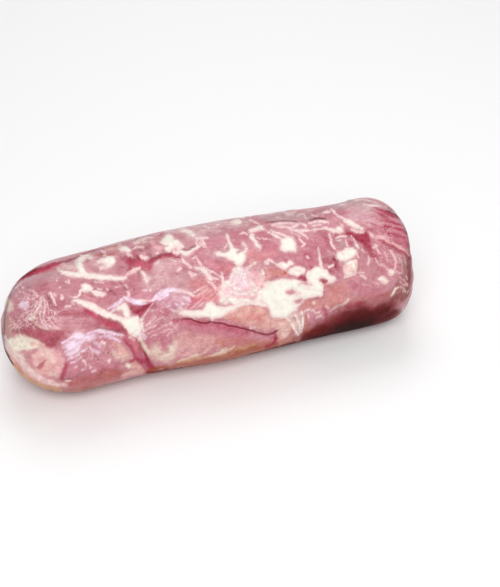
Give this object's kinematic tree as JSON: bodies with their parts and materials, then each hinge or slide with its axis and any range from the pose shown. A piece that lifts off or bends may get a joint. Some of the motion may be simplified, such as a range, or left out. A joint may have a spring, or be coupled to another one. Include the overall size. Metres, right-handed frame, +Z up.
{
  "type": "raw pork tenderloin",
  "caption": "Raw boneless pork cut: a thick rounded roll of pink muscle with white fat patches, silverskin and dark seams, lying on a flat underside.",
  "frame": {"origin": "middle of the cut's footprint, on the surface that it lies on", "axes": "+X along the cut towards its squarer end, -Y towards the shown side, +Z up"},
  "size_m": [0.3208, 0.115, 0.0886],
  "materials": {
    "raw_meat": "raw pork with a moist sheen: mauve-pink muscle, cream fat, pale silverskin and crimson seams"
  },
  "bodies": {
    "root": {"pork_tenderloin": "raw_meat"}
  },
  "joints": []
}
